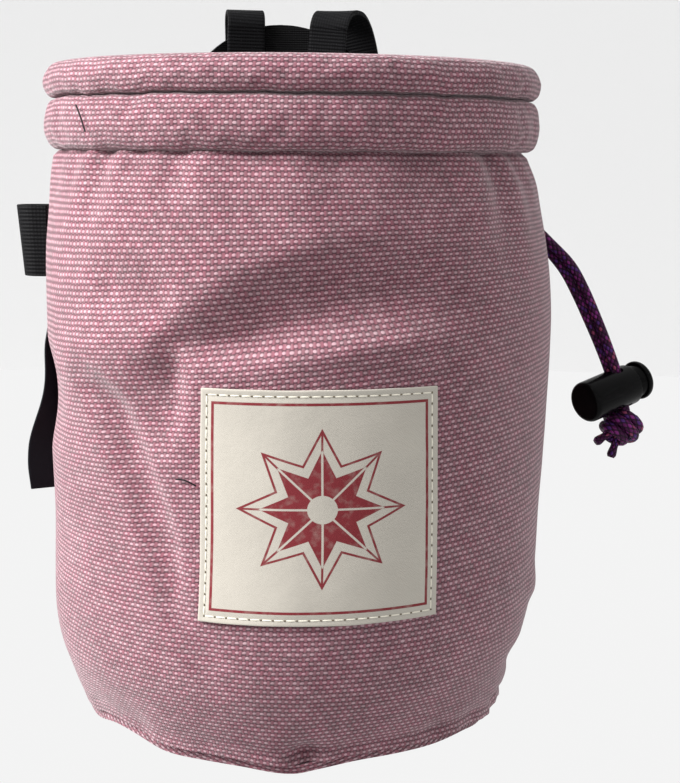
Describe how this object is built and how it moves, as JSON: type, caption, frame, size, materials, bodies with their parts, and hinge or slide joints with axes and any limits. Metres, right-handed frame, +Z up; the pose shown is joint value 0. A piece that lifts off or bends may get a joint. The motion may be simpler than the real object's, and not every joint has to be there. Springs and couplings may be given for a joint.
{
  "type": "climbing_chalk_bag",
  "caption": "Round woven climbing chalk bag with a padded two-roll mouth, a sewn square patch, webbing belt loops, a brush loop and a drawcord with a push-button cord lock",
  "frame": {"origin": "middle of the underside of the round base, where the bag stands", "axes": "+Z up through the mouth, -Y out of the front with the patch, +X to the right in the picture"},
  "size_m": [0.1564, 0.1365, 0.1737],
  "materials": {
    "pink_weave": "dusty pink oxford weave with pale flecks",
    "black_fleece": "black fleece lining",
    "cream_cotton": "cream cotton twill with a printed dark red border",
    "black_webbing": "black ribbed webbing",
    "black_satin": "black woven satin ribbon",
    "plum_cord": "dark plum braided cord with purple flecks",
    "black_plastic": "moulded black plastic",
    "black_eyelet": "black lacquered eyelet"
  },
  "bodies": {
    "bag": {"body_shell": "pink_weave", "rim_lower_roll": "pink_weave", "rim_top_roll": "pink_weave", "base_disc": "pink_weave", "lining": "black_fleece", "front_label": "cream_cotton", "brush_loop": "black_webbing", "side_label": "black_satin", "belt_loop_left": "black_webbing", "belt_loop_right": "black_webbing", "back_tab": "black_webbing", "cord_eyelet": "black_eyelet", "cord_strand_a": "plum_cord", "cord_strand_b": "plum_cord", "cord_knot": "plum_cord", "toggle_barrel": "black_plastic"},
    "plunger": {"toggle_plunger": "black_plastic"}
  },
  "joints": [
    {"name": "plunger_press", "type": "slide", "parent": "bag", "child": "plunger", "axis": [-0.811, -0.54, -0.225], "range_m": [0, 0.0024], "stiffness_N_per_m": 300, "springref_m": -0.003}
  ]
}
